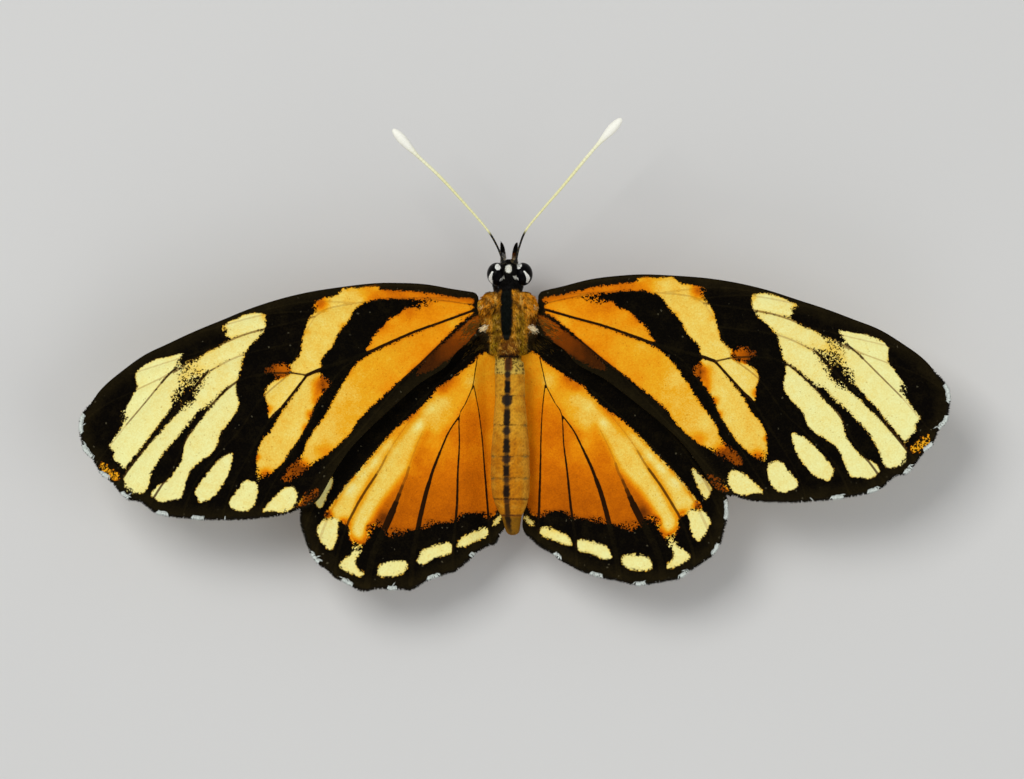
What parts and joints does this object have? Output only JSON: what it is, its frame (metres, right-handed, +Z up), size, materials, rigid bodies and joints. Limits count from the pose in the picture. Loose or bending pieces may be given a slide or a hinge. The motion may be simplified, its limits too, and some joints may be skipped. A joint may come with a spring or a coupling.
{
  "type": "variable crescent butterfly, still life-size model",
  "caption": "Life-size still model of a tropical brush-footed butterfly with its wings spread flat, standing on its walking legs.",
  "frame": {"origin": "middle of the whole butterfly's bounding box, on the floor that its feet stand on", "axes": "+X from the body towards the insect's right wing tip, +Y along the body towards the head, +Z up"},
  "size_m": [0.0633, 0.0343, 0.01],
  "materials": {
    "body": "hairy, ochre with dark bands",
    "head": "black scales with white spots",
    "chitin": "satin",
    "eye": "glossy, finely faceted",
    "antenna": "black and cream rings, pale club",
    "wing": "matte scales, orange, cream and black",
    "leg": "scaled, brown over cream"
  },
  "bodies": {
    "root": {"thorax": "body", "abdomen": "body", "head": "head", "palp_left": "head", "palp_right": "head", "proboscis": "chitin", "eye_left": "eye", "eye_right": "eye", "antenna_left": "antenna", "antenna_right": "antenna", "forewing_left": "wing", "forewing_right": "wing", "hindwing_left": "wing", "hindwing_right": "wing", "leg_fore_left": "leg", "leg_fore_right": "leg", "leg_mid_left": "leg", "leg_mid_right": "leg", "leg_hind_left": "leg", "leg_hind_right": "leg"}
  },
  "joints": []
}
